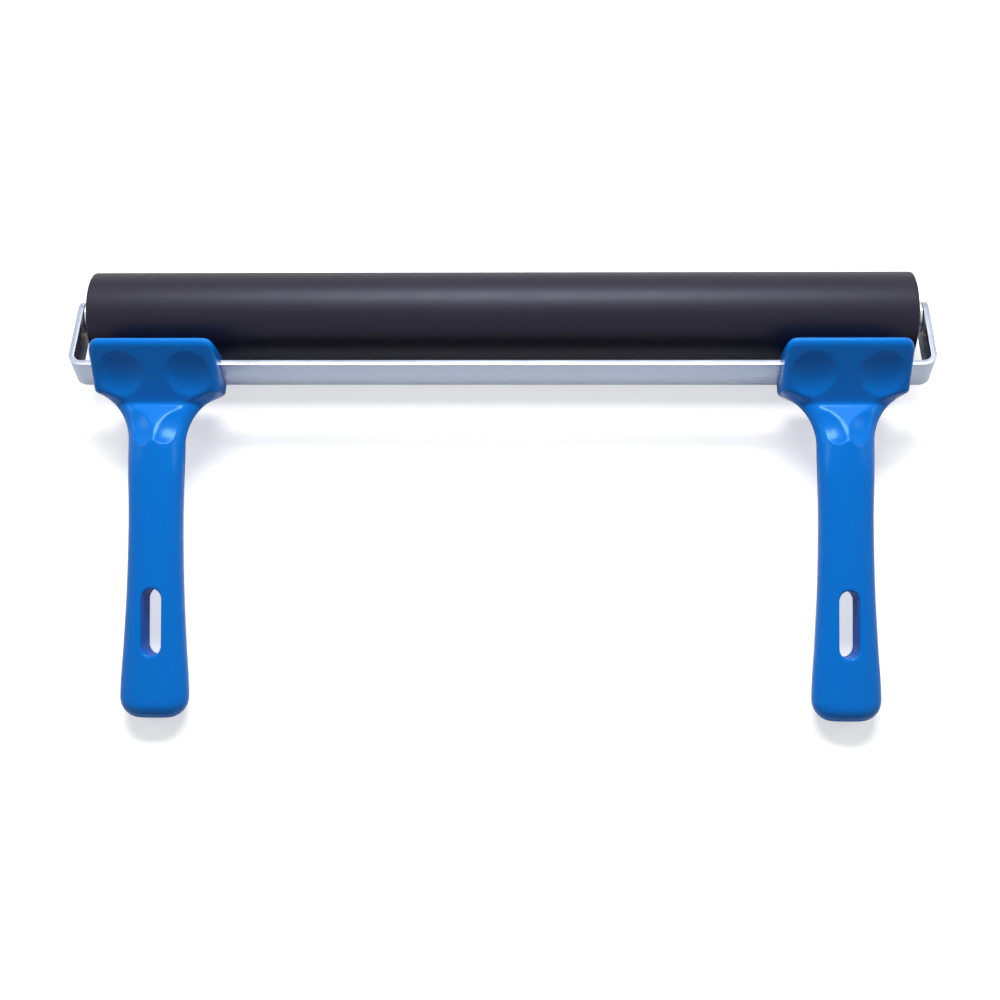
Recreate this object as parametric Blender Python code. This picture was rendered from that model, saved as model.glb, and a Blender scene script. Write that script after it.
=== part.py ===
"""Two-handled rubber brayer: a wide rubber roller in a bent steel strip, with two moulded handles.

Everything is modelled in the handles' own frame: X runs along the roller, Y runs up the handles
from their ends towards the roller, and Z points out of the handles' front faces. One empty then
tilts the whole tool so that it lies on its roller and on both handle ends, with Z up and the
origin under the middle of its bounding box. All sizes are in metres and all angles in degrees.
"""

import math

import bmesh
import bpy
from mathutils import Matrix, Vector

# ---- Driving dimensions: roller -------------------------------------------------------------
ROLLER_LENGTH = 0.300
ROLLER_RADIUS = 0.01625
RUBBER_THICKNESS = 0.005
RUBBER_EDGE_CHAMFER = 0.0006
CORE_WALL = 0.0018
PLUG_FLANGE_THICKNESS = 0.002
PLUG_LENGTH = 0.018
BUSH_WALL = 0.002
BUSH_FLANGE_RADIUS = 0.0072
BUSH_FLANGE_THICKNESS = 0.001
BUSH_LENGTH = 0.014

# ---- Driving dimensions: axle ---------------------------------------------------------------
AXLE_RADIUS = 0.003
TENON_RADIUS = 0.0025
PEENED_HEAD_RADIUS = 0.0036
PEENED_HEAD_THICKNESS = 0.001
WASHER_RADIUS = 0.0058
NYLON_WASHER_THICKNESS = 0.0008
STEEL_WASHER_THICKNESS = 0.0007

# ---- Driving dimensions: steel strip --------------------------------------------------------
STRIP_WIDTH = 0.012
STRIP_THICKNESS = 0.002
BEND_INNER_RADIUS = 0.003
WEB_TO_ROLLER_GAP = 0.00875
ARM_BEYOND_AXLE = 0.005
ARM_TILT = 31.5

# ---- Driving dimensions: handles ------------------------------------------------------------
HANDLE_INSET = 0.0272
HANDLE_LENGTH = 0.1345
HANDLE_HALF_THICKNESS = 0.0070
END_HALF_WIDTH = 0.0122
WAIST_HALF_WIDTH = 0.0097
NECK_HALF_WIDTH = 0.0102
NECK_BELOW_RIM = 0.0370
NECK_ARC_RADIUS = 0.0205
END_ROUNDING = 0.006
HEAD_HALF_WIDTH = 0.0225
RIM_NARROWING = 0.0013
RIM_FRONT = 0.0135
SEAT_BELOW_RIM = 0.0066
SEAT_Z = -0.0008
BACK_WALL_THICKNESS = 0.0060
HEAD_TOP_BELOW_RIM = 0.0040
NOTCH_BELOW_RIM = 0.0223
NOTCH_Z = 0.0
FACET_LENGTH = 0.0136
FACET_TOP_HALF_WIDTH = 0.0102
CROWN_HALF_WIDTH = 0.0004
HEAD_CORNER_RADIUS = 0.0018
DIMPLE_RADIUS = 0.0082
DIMPLE_DEPTH = 0.0016
DIMPLE_BELOW_RIM = 0.0122
SLOT_START = 0.0227
SLOT_LENGTH = 0.0238
SLOT_WIDTH = 0.0069

# ---- Driving dimensions: clamp plates and screws --------------------------------------------
PLATE_THICKNESS = 0.003
PLATE_CORNER_RADIUS = 0.0015
SCREW_FROM_HEAD_SIDE = 0.01035
SCREW_RADIUS = 0.0019
SCREW_HEAD_RADIUS = 0.0037
SCREW_GRIP_IN_HANDLE = 0.0065
SCREW_END_CHAMFER = 0.0006
SOCKET_RADIUS = 0.0012
SOCKET_DEPTH = 0.0012

# ---- Clearances -----------------------------------------------------------------------------
SEAT_GAP = 0.0003
RUNNING_GAP = 0.0001
PILOT_HOLE_SPARE = 0.0010
CUT_SPARE = 0.004
WEB_RING_TO_HEAD = 0.0103

# ---- Segments -------------------------------------------------------------------------------
ROLLER_SEGMENTS = 96
BORE_SEGMENTS = 48
SMALL_SEGMENTS = 32
FLAT_STEPS = 4
SIDE_STEPS = 9
BACK_STEPS = 8
BEND_STEPS = 6
BALL_TURNS = 40
BALL_RINGS = 40
SMOOTH_ANGLE = 35.0


# ---- Worked-out sizes -----------------------------------------------------------------------
CORE_OUTER_RADIUS = ROLLER_RADIUS - RUBBER_THICKNESS - SEAT_GAP
CORE_INNER_RADIUS = CORE_OUTER_RADIUS - CORE_WALL
CORE_HALF_LENGTH = ROLLER_LENGTH / 2 - PLUG_FLANGE_THICKNESS - SEAT_GAP
BUSH_BORE_RADIUS = AXLE_RADIUS + RUNNING_GAP
BUSH_OUTER_RADIUS = BUSH_BORE_RADIUS + BUSH_WALL
BUSH_FACE_X = ROLLER_LENGTH / 2 + SEAT_GAP + BUSH_FLANGE_THICKNESS
NYLON_WASHER_X = BUSH_FACE_X + SEAT_GAP
STEEL_WASHER_X = NYLON_WASHER_X + NYLON_WASHER_THICKNESS + SEAT_GAP
ARM_INNER_X = STEEL_WASHER_X + STEEL_WASHER_THICKNESS + SEAT_GAP
ARM_OUTER_X = ARM_INNER_X + STRIP_THICKNESS

HANDLE_SPACING = ROLLER_LENGTH - 2 * HANDLE_INSET
SCREW_SPACING = 2 * (HEAD_HALF_WIDTH - SCREW_FROM_HEAD_SIDE)
FREE_WEB_LENGTH = HANDLE_SPACING - 2 * (HEAD_HALF_WIDTH + WEB_RING_TO_HEAD)
WEB_TO_AXLE = ROLLER_RADIUS + WEB_TO_ROLLER_GAP

RIM_Y = HANDLE_LENGTH
RIM_HALF_WIDTH = HEAD_HALF_WIDTH - RIM_NARROWING
HEAD_TOP_Y = RIM_Y - HEAD_TOP_BELOW_RIM
NOTCH_Y = RIM_Y - NOTCH_BELOW_RIM
FACET_APEX_Y = NOTCH_Y - FACET_LENGTH
DIMPLE_Y = RIM_Y - DIMPLE_BELOW_RIM
NECK_START = RIM_Y - NECK_BELOW_RIM

TILT = math.radians(ARM_TILT)
ARM_WAY = Vector((0.0, math.cos(TILT), -math.sin(TILT)))
BACK_WAY = Vector((0.0, -math.sin(TILT), -math.cos(TILT)))
SEAT_EDGE = Vector((0.0, RIM_Y - SEAT_BELOW_RIM, SEAT_Z))
WEB_CENTRE = SEAT_EDGE + BACK_WAY * (STRIP_WIDTH / 2)
AXLE_CENTRE = WEB_CENTRE + ARM_WAY * WEB_TO_AXLE
STRIP_AXES = Matrix(((1, 0, 0), ARM_WAY, BACK_WAY)).transposed()

PLATE_TOP = PLATE_THICKNESS + SEAT_GAP
HEAD_CORNER = SEAT_EDGE + ARM_WAY * PLATE_TOP + BACK_WAY * (STRIP_WIDTH + SEAT_GAP + BACK_WALL_THICKNESS)


# ---- Scene helpers --------------------------------------------------------------------------
def clear_scene():
    """Remove whatever objects the file starts with."""
    for thing in list(bpy.data.objects):
        bpy.data.objects.remove(thing, do_unlink=True)


def make_material(name, colour, roughness, metallic=0.0):
    """A plain Principled material for one sub-part."""
    material = bpy.data.materials.new(name)
    material.use_nodes = True
    shader = material.node_tree.nodes["Principled BSDF"]
    shader.inputs["Base Color"].default_value = (*colour, 1.0)
    shader.inputs["Roughness"].default_value = roughness
    shader.inputs["Metallic"].default_value = metallic
    material.diffuse_color = (*colour, 1.0)
    return material


def make_empty(name, parent=None, location=(0.0, 0.0, 0.0)):
    """An empty that carries or turns other objects."""
    empty = bpy.data.objects.new(name, None)
    empty.location = location
    empty.parent = parent
    bpy.context.scene.collection.objects.link(empty)
    return empty


def mesh_from(name, build):
    """Run a bmesh builder, point its faces outwards and return the finished mesh."""
    shape = bmesh.new()
    build(shape)
    bmesh.ops.recalc_face_normals(shape, faces=shape.faces)
    mesh = bpy.data.meshes.new(name)
    shape.to_mesh(mesh)
    shape.free()
    mesh.shade_smooth()
    mesh.set_sharp_from_angle(angle=math.radians(SMOOTH_ANGLE))
    return mesh


def add_object(name, mesh, material, parent, matrix=None):
    """Link one named object with its own material, placed in its parent's frame."""
    thing = bpy.data.objects.new(name, mesh)
    if material is not None:
        mesh.materials.clear()
        mesh.materials.append(material)
    bpy.context.scene.collection.objects.link(thing)
    thing.parent = parent
    if matrix is not None:
        thing.matrix_local = matrix
    return thing


def hide_cutter(thing):
    """Keep a cutter out of renders and show it as wire."""
    thing.hide_render = True
    thing.display_type = "WIRE"


def cut(target, cutter):
    """Take a cutter away from a target with an exact Boolean."""
    hide_cutter(cutter)
    modifier = target.modifiers.new(cutter.name, "BOOLEAN")
    modifier.operation = "DIFFERENCE"
    modifier.solver = "EXACT"
    modifier.object = cutter


# ---- Shape helpers --------------------------------------------------------------------------
def turned(profile, segments, ring=False):
    """A builder that turns (x, radius) points about X. A ring closes on itself, a bar is capped."""

    def build(shape):
        rows = []
        for x, radius in profile:
            turns = [2 * math.pi * i / segments for i in range(segments)]
            rows.append([shape.verts.new((x, radius * math.cos(t), radius * math.sin(t))) for t in turns])
        pairs = list(zip(rows, rows[1:]))
        if ring:
            pairs.append((rows[-1], rows[0]))
        for first, second in pairs:
            for i in range(segments):
                j = (i + 1) % segments
                shape.faces.new((first[i], first[j], second[j], second[i]))
        if not ring:
            shape.faces.new(rows[0])
            shape.faces.new(rows[-1])

    return build


def prism(outline, half_length):
    """A builder that extrudes a (y, z) outline along X, centred on X = 0."""

    def build(shape):
        left = [shape.verts.new((-half_length, y, z)) for y, z in outline]
        right = [shape.verts.new((half_length, y, z)) for y, z in outline]
        shape.faces.new(left)
        shape.faces.new(right)
        for i in range(len(outline)):
            j = (i + 1) % len(outline)
            shape.faces.new((left[i], left[j], right[j], right[i]))

    return build


def arc_points(centre, radius, start, end, steps):
    """Points along an arc, with its angles in degrees and both ends included."""
    angles = [math.radians(start + (end - start) * i / steps) for i in range(steps + 1)]
    return [(centre[0] + radius * math.cos(a), centre[1] + radius * math.sin(a)) for a in angles]


def smooth_curve(stations, at):
    """A smooth value through (place, value) stations, level at both ends."""
    if at <= stations[0][0]:
        return stations[0][1]
    if at >= stations[-1][0]:
        return stations[-1][1]
    slopes = [0.0]
    for before, after in zip(stations, stations[2:]):
        slopes.append((after[1] - before[1]) / (after[0] - before[0]))
    slopes.append(0.0)
    for k in range(len(stations) - 1):
        (place, value), (next_place, next_value) = stations[k], stations[k + 1]
        if at <= next_place:
            span = next_place - place
            t = (at - place) / span
            start_part = (2 * t**3 - 3 * t**2 + 1) * value + (t**3 - 2 * t**2 + t) * span * slopes[k]
            end_part = (-2 * t**3 + 3 * t**2) * next_value + (t**3 - t**2) * span * slopes[k + 1]
            return start_part + end_part
    return stations[-1][1]


def straight_curve(stations, at):
    """A value read along straight lines between (place, value) stations."""
    for (place, value), (next_place, next_value) in zip(stations, stations[1:]):
        if at <= next_place:
            share = max(0.0, (at - place) / (next_place - place))
            return value + (next_value - value) * share
    return stations[-1][1]


# ---- Roller ---------------------------------------------------------------------------------
def tube_profile(half_length, outer, inner, chamfer):
    """The closed profile of a tube with chamfered outer edges."""
    return [
        (-half_length, inner),
        (-half_length, outer - chamfer),
        (-half_length + chamfer, outer),
        (half_length - chamfer, outer),
        (half_length, outer - chamfer),
        (half_length, inner),
    ]


def stepped_profile(face, flange_thickness, length, flange_radius, body_radius, bore_radius):
    """The closed profile of a flanged sleeve whose flange face looks along +X."""
    return [
        (face, bore_radius),
        (face, flange_radius),
        (face - flange_thickness, flange_radius),
        (face - flange_thickness, body_radius),
        (face - length, body_radius),
        (face - length, bore_radius),
    ]


def mirrored(profile):
    """The same profile on the -X side."""
    return [(-x, radius) for x, radius in profile]


def build_roller(parent):
    """The pieces that turn together: rubber, core tube, end plugs and bearing bushes."""
    rubber = make_material("black_rubber", (0.016, 0.016, 0.022), 0.42)
    core_steel = make_material("core_steel", (0.42, 0.43, 0.45), 0.45, 1.0)
    plug_plastic = make_material("plug_plastic", (0.045, 0.045, 0.05), 0.5)
    bronze = make_material("bush_bronze", (0.52, 0.33, 0.14), 0.38, 1.0)

    half = ROLLER_LENGTH / 2
    bore = CORE_OUTER_RADIUS + SEAT_GAP
    sleeve = tube_profile(half, ROLLER_RADIUS, bore, RUBBER_EDGE_CHAMFER)
    core = tube_profile(CORE_HALF_LENGTH, CORE_OUTER_RADIUS, CORE_INNER_RADIUS, 0.0003)
    add_object("rubber_sleeve", mesh_from("rubber_sleeve", turned(sleeve, ROLLER_SEGMENTS, True)), rubber, parent)
    add_object("core_tube", mesh_from("core_tube", turned(core, BORE_SEGMENTS, True)), core_steel, parent)

    plug = stepped_profile(
        half,
        PLUG_FLANGE_THICKNESS,
        PLUG_LENGTH,
        CORE_OUTER_RADIUS,
        CORE_INNER_RADIUS - SEAT_GAP,
        BUSH_OUTER_RADIUS + SEAT_GAP,
    )
    bush = stepped_profile(
        BUSH_FACE_X,
        BUSH_FLANGE_THICKNESS,
        BUSH_LENGTH,
        BUSH_FLANGE_RADIUS,
        BUSH_OUTER_RADIUS,
        BUSH_BORE_RADIUS,
    )
    for side, place in (("left", mirrored), ("right", list)):
        plug_mesh = mesh_from(f"end_plug_{side}", turned(place(plug), BORE_SEGMENTS, True))
        bush_mesh = mesh_from(f"bearing_bush_{side}", turned(place(bush), SMALL_SEGMENTS, True))
        add_object(f"end_plug_{side}", plug_mesh, plug_plastic, parent)
        add_object(f"bearing_bush_{side}", bush_mesh, bronze, parent)


# ---- Axle -----------------------------------------------------------------------------------
def washer_profile(face, thickness):
    """The closed profile of a flat washer on the axle."""
    bore = AXLE_RADIUS + SEAT_GAP
    return [(face, bore), (face, WASHER_RADIUS), (face + thickness, WASHER_RADIUS), (face + thickness, bore)]


def build_axle(parent):
    """The fixed rod, riveted over outside both arms, and its washers."""
    axle_steel = make_material("axle_steel", (0.55, 0.56, 0.58), 0.3, 1.0)
    washer_steel = make_material("washer_steel", (0.6, 0.61, 0.63), 0.35, 1.0)
    nylon = make_material("washer_nylon", (0.75, 0.74, 0.7), 0.5)

    shoulder = ARM_INNER_X - SEAT_GAP
    head = ARM_OUTER_X + SEAT_GAP
    dome = PEENED_HEAD_RADIUS * 0.6
    right_half = [
        (shoulder, AXLE_RADIUS),
        (shoulder, TENON_RADIUS),
        (head, TENON_RADIUS),
        (head, PEENED_HEAD_RADIUS),
        (head + PEENED_HEAD_THICKNESS / 2, PEENED_HEAD_RADIUS),
        (head + PEENED_HEAD_THICKNESS, dome),
    ]
    profile = mirrored(right_half)[::-1] + right_half
    add_object("axle_rod", mesh_from("axle_rod", turned(profile, SMALL_SEGMENTS)), axle_steel, parent)

    washers = (
        ("nylon_washer", NYLON_WASHER_X, NYLON_WASHER_THICKNESS, nylon),
        ("steel_washer", STEEL_WASHER_X, STEEL_WASHER_THICKNESS, washer_steel),
    )
    for kind, face, thickness, material in washers:
        profile = washer_profile(face, thickness)
        for side, place in (("left", mirrored), ("right", list)):
            mesh = mesh_from(f"{kind}_{side}", turned(place(profile), SMALL_SEGMENTS, True))
            add_object(f"{kind}_{side}", mesh, material, parent)


# ---- Steel strip ----------------------------------------------------------------------------
def strip_stations():
    """(inner point, outer point, half width) along the strip, in its X and arm directions."""
    inner, outer = BEND_INNER_RADIUS, BEND_INNER_RADIUS + STRIP_THICKNESS
    bend = (ARM_INNER_X - inner, inner)
    half_width = STRIP_WIDTH / 2
    round_centre = WEB_TO_AXLE + ARM_BEYOND_AXLE - half_width
    free = FREE_WEB_LENGTH / 2
    right = [((free, 0.0), (free, -STRIP_THICKNESS), half_width)]
    inner_arc = arc_points(bend, inner, -90, 0, BEND_STEPS)
    outer_arc = arc_points(bend, outer, -90, 0, BEND_STEPS)
    right += [(near, far, half_width) for near, far in zip(inner_arc, outer_arc)]
    steps = 2 * BEND_STEPS
    for i in range(steps):
        angle = math.pi / 2 * i / steps
        along = round_centre + half_width * math.sin(angle)
        right.append(((ARM_INNER_X, along), (ARM_OUTER_X, along), half_width * math.cos(angle)))
    tip = ((ARM_INNER_X, round_centre + half_width), (ARM_OUTER_X, round_centre + half_width))
    left = [((-near[0], near[1]), (-far[0], far[1]), width) for near, far, width in reversed(right)]
    return left + right, tip


def build_strip(parent):
    """The flat strip bent into a U, with round arm ends and its axle and screw holes."""
    zinc = make_material("zinc_strip", (0.66, 0.69, 0.74), 0.28, 1.0)

    def build(shape):
        stations, tip = strip_stations()
        rings = []
        for near, far, half_width in stations:
            corners = ((near, -half_width), (near, half_width), (far, half_width), (far, -half_width))
            rings.append([shape.verts.new((point[0], point[1], side)) for point, side in corners])
        for first, second in zip(rings, rings[1:]):
            for i in range(4):
                j = (i + 1) % 4
                shape.faces.new((first[i], first[j], second[j], second[i]))
        for ring, sign in ((rings[0], -1), (rings[-1], 1)):
            near_tip, far_tip = (shape.verts.new((sign * x, along, 0.0)) for x, along in tip)
            near_front, near_back, far_back, far_front = ring
            shape.faces.new((near_front, near_back, near_tip))
            shape.faces.new((far_front, far_back, far_tip))
            shape.faces.new((near_back, far_back, far_tip, near_tip))
            shape.faces.new((near_front, far_front, far_tip, near_tip))

    place = Matrix.Translation(WEB_CENTRE) @ STRIP_AXES.to_4x4()
    strip = add_object("frame_strip", mesh_from("frame_strip", build), zinc, parent, place)

    reach = ARM_OUTER_X + CUT_SPARE
    axle_hole = turned([(-reach, TENON_RADIUS + SEAT_GAP), (reach, TENON_RADIUS + SEAT_GAP)], SMALL_SEGMENTS)
    hole_place = Matrix.Translation(AXLE_CENTRE)
    cut(strip, add_object("axle_hole_cutter", mesh_from("axle_hole_cutter", axle_hole), None, parent, hole_place))
    for name, place in screw_places():
        hole = turned(
            [(-STRIP_THICKNESS - CUT_SPARE, SCREW_RADIUS + SEAT_GAP), (CUT_SPARE, SCREW_RADIUS + SEAT_GAP)],
            SMALL_SEGMENTS,
        )
        cutter = add_object(f"strip_hole_{name}", mesh_from(f"strip_hole_{name}", hole), None, parent, place)
        cut(strip, cutter)
    return strip


# ---- Clamp plates and screws ----------------------------------------------------------------
def screw_places():
    """(name, place) of each screw, whose own X runs from the strip's inner face to the roller."""
    turn = Matrix((ARM_WAY, (1, 0, 0), BACK_WAY)).transposed().to_4x4()
    places = []
    for side, handle_x in handle_sides():
        for end, offset in (("outer", 1), ("inner", -1)):
            sign = -1 if side == "left" else 1
            x = handle_x + sign * offset * SCREW_SPACING / 2
            places.append((f"{side}_{end}", Matrix.Translation(WEB_CENTRE + Vector((x, 0, 0))) @ turn))
    return places


def handle_sides():
    """The name and X place of each handle."""
    return (("left", -HANDLE_SPACING / 2), ("right", HANDLE_SPACING / 2))


def countersink(face, length, shank, head):
    """The profile of a countersunk head and shank whose head face is at the given place."""
    return [(face - length, shank), (face - (head - shank), shank), (face, head)]


def build_clamps(parent):
    """The plate that holds the strip in each handle's head, and its two screws."""
    plate_blue = make_material("plate_plastic", (0.003, 0.12, 0.5), 0.35)
    screw_zinc = make_material("screw_zinc", (0.62, 0.63, 0.66), 0.3, 1.0)

    half_length = HEAD_HALF_WIDTH - SEAT_GAP
    half_width = STRIP_WIDTH / 2
    radius = PLATE_CORNER_RADIUS
    for side, handle_x in handle_sides():

        def build(shape):
            outline = []
            corners = ((1, 1, 0), (-1, 1, 90), (-1, -1, 180), (1, -1, 270))
            for x_sign, z_sign, start in corners:
                centre = (x_sign * (half_length - radius), z_sign * (half_width - radius))
                outline += arc_points(centre, radius, start, start + 90, 4)
            low = [shape.verts.new((x, SEAT_GAP, z)) for x, z in outline]
            high = [shape.verts.new((x, PLATE_TOP, z)) for x, z in outline]
            shape.faces.new(low)
            shape.faces.new(high)
            for i in range(len(outline)):
                j = (i + 1) % len(outline)
                shape.faces.new((low[i], low[j], high[j], high[i]))

        place = Matrix.Translation(WEB_CENTRE + Vector((handle_x, 0, 0))) @ STRIP_AXES.to_4x4()
        name = f"clamp_plate_{side}"
        plate = add_object(name, mesh_from(name, build), plate_blue, parent, place)
        for screw_name, screw_place in screw_places():
            if not screw_name.startswith(side):
                continue
            hole = countersink(
                PLATE_TOP + CUT_SPARE,
                PLATE_TOP + 2 * CUT_SPARE,
                SCREW_RADIUS + SEAT_GAP,
                SCREW_HEAD_RADIUS + SEAT_GAP + CUT_SPARE,
            )
            mesh = mesh_from(f"plate_hole_{screw_name}", turned(hole, SMALL_SEGMENTS))
            cut(plate, add_object(f"plate_hole_{screw_name}", mesh, None, parent, screw_place))

    under_head = PLATE_TOP + STRIP_THICKNESS + SCREW_GRIP_IN_HANDLE
    shank_end = PLATE_TOP - under_head
    for name, place in screw_places():
        profile = [(shank_end, SCREW_RADIUS - SCREW_END_CHAMFER), (shank_end + SCREW_END_CHAMFER, SCREW_RADIUS)]
        profile += countersink(PLATE_TOP, under_head, SCREW_RADIUS, SCREW_HEAD_RADIUS)[1:]
        profile += [(PLATE_TOP, SOCKET_RADIUS), (PLATE_TOP - SOCKET_DEPTH, SOCKET_RADIUS * 0.7)]
        mesh = mesh_from(f"clamp_screw_{name}", turned(profile, SMALL_SEGMENTS))
        add_object(f"clamp_screw_{name}", mesh, screw_zinc, parent, place)


# ---- Handles --------------------------------------------------------------------------------
def handle_half_width(y):
    """Half the handle's width at a distance from its end."""
    taper = END_HALF_WIDTH - WAIST_HALF_WIDTH
    shaft = [
        (END_ROUNDING, END_HALF_WIDTH),
        (NECK_START * 0.28, WAIST_HALF_WIDTH + taper * 0.56),
        (NECK_START * 0.48, WAIST_HALF_WIDTH + taper * 0.17),
        (NECK_START * 0.73, WAIST_HALF_WIDTH),
        (NECK_START, NECK_HALF_WIDTH),
    ]
    if y < END_ROUNDING:
        drop = END_ROUNDING - math.sqrt(max(0.0, END_ROUNDING**2 - (END_ROUNDING - y) ** 2))
        return END_HALF_WIDTH - drop
    if y < NECK_START:
        return smooth_curve(shaft, y)
    along = min(y - NECK_START, NECK_ARC_RADIUS)
    flare = NECK_HALF_WIDTH + NECK_ARC_RADIUS - math.sqrt(NECK_ARC_RADIUS**2 - along**2)
    if flare < HEAD_HALF_WIDTH:
        return flare
    return straight_curve([(HEAD_TOP_Y, HEAD_HALF_WIDTH), (RIM_Y, RIM_HALF_WIDTH)], y)


def head_start():
    """The distance at which the neck's arc reaches the head's full width."""
    rise = HEAD_HALF_WIDTH - NECK_HALF_WIDTH
    return NECK_START + math.sqrt(NECK_ARC_RADIUS**2 - (NECK_ARC_RADIUS - rise) ** 2)


def handle_front(y):
    """The front's height on the centreline: shaft, facet down to the notch, face up to the rim."""
    if y < FACET_APEX_Y:
        return end_thickness(y)
    line = [(FACET_APEX_Y, HANDLE_HALF_THICKNESS), (NOTCH_Y, NOTCH_Z), (RIM_Y, RIM_FRONT)]
    return straight_curve(line, y)


def handle_back(y):
    """The back face's height, down to the head's lower corner and up along the plate."""
    if y < FACET_APEX_Y:
        return -end_thickness(y)
    corner_y, corner_z = HEAD_CORNER.y, HEAD_CORNER.z
    if y < corner_y:
        share = (y - FACET_APEX_Y) / (corner_y - FACET_APEX_Y)
        return -HANDLE_HALF_THICKNESS + (corner_z + HANDLE_HALF_THICKNESS) * share**1.4
    top_z = corner_z + (HEAD_TOP_Y - corner_y) / math.tan(TILT)
    return straight_curve([(corner_y, corner_z), (HEAD_TOP_Y, top_z), (RIM_Y, RIM_FRONT - END_ROUNDING / 2)], y)


def widest_height(y):
    """The height at which the section is widest: the neck's flare leaves from the shaft's back."""
    middle = (handle_front(y) + handle_back(y)) / 2
    if y < FACET_APEX_Y:
        return 0.0
    if y > HEAD_CORNER.y:
        return middle
    neck = -HANDLE_HALF_THICKNESS * 0.6
    return straight_curve([(FACET_APEX_Y, 0.0), (NOTCH_Y, neck), (HEAD_CORNER.y, middle)], y)


def flat_half_width(y):
    """Half the width of the front's flat part: the pointed facet, then the head's face."""
    face = handle_half_width(y) - HEAD_CORNER_RADIUS
    if y <= FACET_APEX_Y:
        return CROWN_HALF_WIDTH
    if y <= NOTCH_Y:
        share = (y - FACET_APEX_Y) / (NOTCH_Y - FACET_APEX_Y)
        return CROWN_HALF_WIDTH + (FACET_TOP_HALF_WIDTH - CROWN_HALF_WIDTH) * (0.75 * share + 0.25 * share**3)
    share = min(1.0, (y - NOTCH_Y) / (2 * HEAD_CORNER_RADIUS))
    return FACET_TOP_HALF_WIDTH + (face - FACET_TOP_HALF_WIDTH) * share


def end_thickness(y):
    """Half the shaft's thickness, rounded over at the handle's end."""
    rounding = HANDLE_HALF_THICKNESS * 0.8
    if y >= rounding:
        return HANDLE_HALF_THICKNESS
    return HANDLE_HALF_THICKNESS - rounding + math.sqrt(rounding**2 - (rounding - y) ** 2)


def section_power(y):
    """How square the section is: 2 is an ellipse, and the head is nearly a rectangle."""
    return smooth_curve([(NECK_START, 2.3), (NOTCH_Y, 2.2), (head_start(), 6.0)], y)


def handle_stations():
    """The distances from the handle's end at which its sections are drawn."""
    end = [END_ROUNDING * (1 - math.cos(math.radians(a))) for a in (12, 26, 40, 54, 68, 80, 90)]
    shaft_count = 12
    shaft = [END_ROUNDING + (NECK_START - END_ROUNDING) * i / shaft_count for i in range(1, shaft_count + 1)]
    facet_count = 5
    facet = [FACET_APEX_Y + (NOTCH_Y - FACET_APEX_Y) * i / facet_count for i in range(facet_count + 1)]
    neck = [NOTCH_Y + 2 * HEAD_CORNER_RADIUS * share for share in (0.25, 0.5, 0.75, 1.0)]
    head = [HEAD_CORNER.y, (HEAD_CORNER.y + HEAD_TOP_Y) / 2, HEAD_TOP_Y, (HEAD_TOP_Y + RIM_Y) / 2, RIM_Y]
    return end + shaft + facet + sorted(neck + head)


def half_section(y):
    """The right half of the section at a distance: flat front, side curve and back curve."""
    wide, flat = handle_half_width(y), flat_half_width(y)
    front, back, waist = handle_front(y), handle_back(y), widest_height(y)
    power = 2 / section_power(y)
    points = [(flat * i / FLAT_STEPS, front) for i in range(FLAT_STEPS)]
    for i in range(SIDE_STEPS):
        angle = math.pi / 2 * i / SIDE_STEPS
        x = flat + (wide - flat) * math.sin(angle) ** power
        points.append((x, waist + (front - waist) * math.cos(angle) ** power))
    for i in range(BACK_STEPS + 1):
        angle = math.pi / 2 * i / BACK_STEPS
        x = wide * max(0.0, math.cos(angle)) ** power
        points.append((x, waist + (back - waist) * math.sin(angle) ** power))
    points[-1] = (0.0, back)
    return points


def build_handle_blank(shape):
    """Loft the handle through its sections."""
    rows = []
    for y in handle_stations():
        right = half_section(y)
        left = [(-x, z) for x, z in right[-2:0:-1]]
        rows.append([shape.verts.new((x, y, z)) for x, z in right + left])
    count = len(rows[0])
    for first, second in zip(rows, rows[1:]):
        for i in range(count):
            j = (i + 1) % count
            shape.faces.new((first[i], first[j], second[j], second[i]))
    shape.faces.new(rows[0])
    shape.faces.new(rows[-1])


def front_face_way():
    """The direction up the head's sloping front face, from the notch to the rim."""
    return Vector((0.0, RIM_Y - NOTCH_Y, RIM_FRONT - NOTCH_Z)).normalized()


def ball(radius, centre):
    """A builder for the ball that hollows one dimple."""

    def build(shape):
        bmesh.ops.create_uvsphere(shape, u_segments=BALL_TURNS, v_segments=BALL_RINGS, radius=radius)
        bmesh.ops.translate(shape, verts=shape.verts, vec=centre)

    return build


def slot_cutter(shape):
    """The long round-ended slot through the handle's end."""
    radius = SLOT_WIDTH / 2
    outline = arc_points((0.0, SLOT_START + radius), radius, 180, 360, 10)
    outline += arc_points((0.0, SLOT_START + SLOT_LENGTH - radius), radius, 0, 180, 10)
    reach = HANDLE_HALF_THICKNESS + CUT_SPARE
    low = [shape.verts.new((x, y, -reach)) for x, y in outline]
    high = [shape.verts.new((x, y, reach)) for x, y in outline]
    shape.faces.new(low)
    shape.faces.new(high)
    for i in range(len(outline)):
        j = (i + 1) % len(outline)
        shape.faces.new((low[i], low[j], high[j], high[i]))


def channel_outline():
    """The channel for the strip and its plate, in arm and back directions from the web's centre."""
    half = STRIP_WIDTH / 2 + SEAT_GAP
    floor = -STRIP_THICKNESS - SEAT_GAP
    return [(floor, -half), (floor, half), (PLATE_TOP + 2 * CUT_SPARE, half), (PLATE_TOP + 2 * CUT_SPARE, -half)]


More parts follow.
